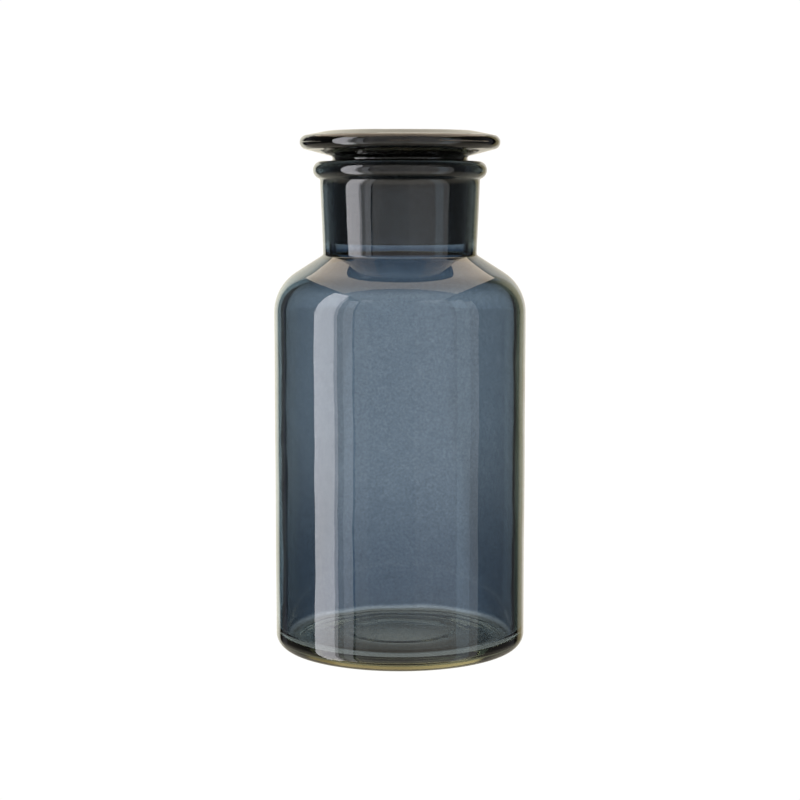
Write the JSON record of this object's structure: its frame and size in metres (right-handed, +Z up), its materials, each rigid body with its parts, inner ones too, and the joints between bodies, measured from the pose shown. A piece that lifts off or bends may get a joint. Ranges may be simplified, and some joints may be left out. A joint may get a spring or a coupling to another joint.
{
  "type": "apothecary jar",
  "caption": "Wide-mouth cylindrical jar in smoke-blue tinted glass, with sloping shoulder, beaded rim and a lift-off disc-headed ground stopper.",
  "frame": {"origin": "centre of the foot, on the surface that the jar stands on", "axes": "+Z up along the jar's axis of revolution; +X and +Y are any two square directions across it"},
  "size_m": [0.11, 0.11, 0.2272],
  "materials": {
    "smoke_blue_glass": "clear blown glass tinted smoke blue, finely ground inside the mouth",
    "smoke_grey_glass": "clear pressed glass tinted smoke grey, finely ground on the plug"
  },
  "bodies": {
    "jar": {"jar": "smoke_blue_glass"},
    "stopper": {"stopper": "smoke_grey_glass"}
  },
  "joints": [
    {"name": "stopper_lift", "type": "slide", "parent": "jar", "child": "stopper", "axis": [0, 0, 1], "range_m": [0, 0.07]}
  ]
}
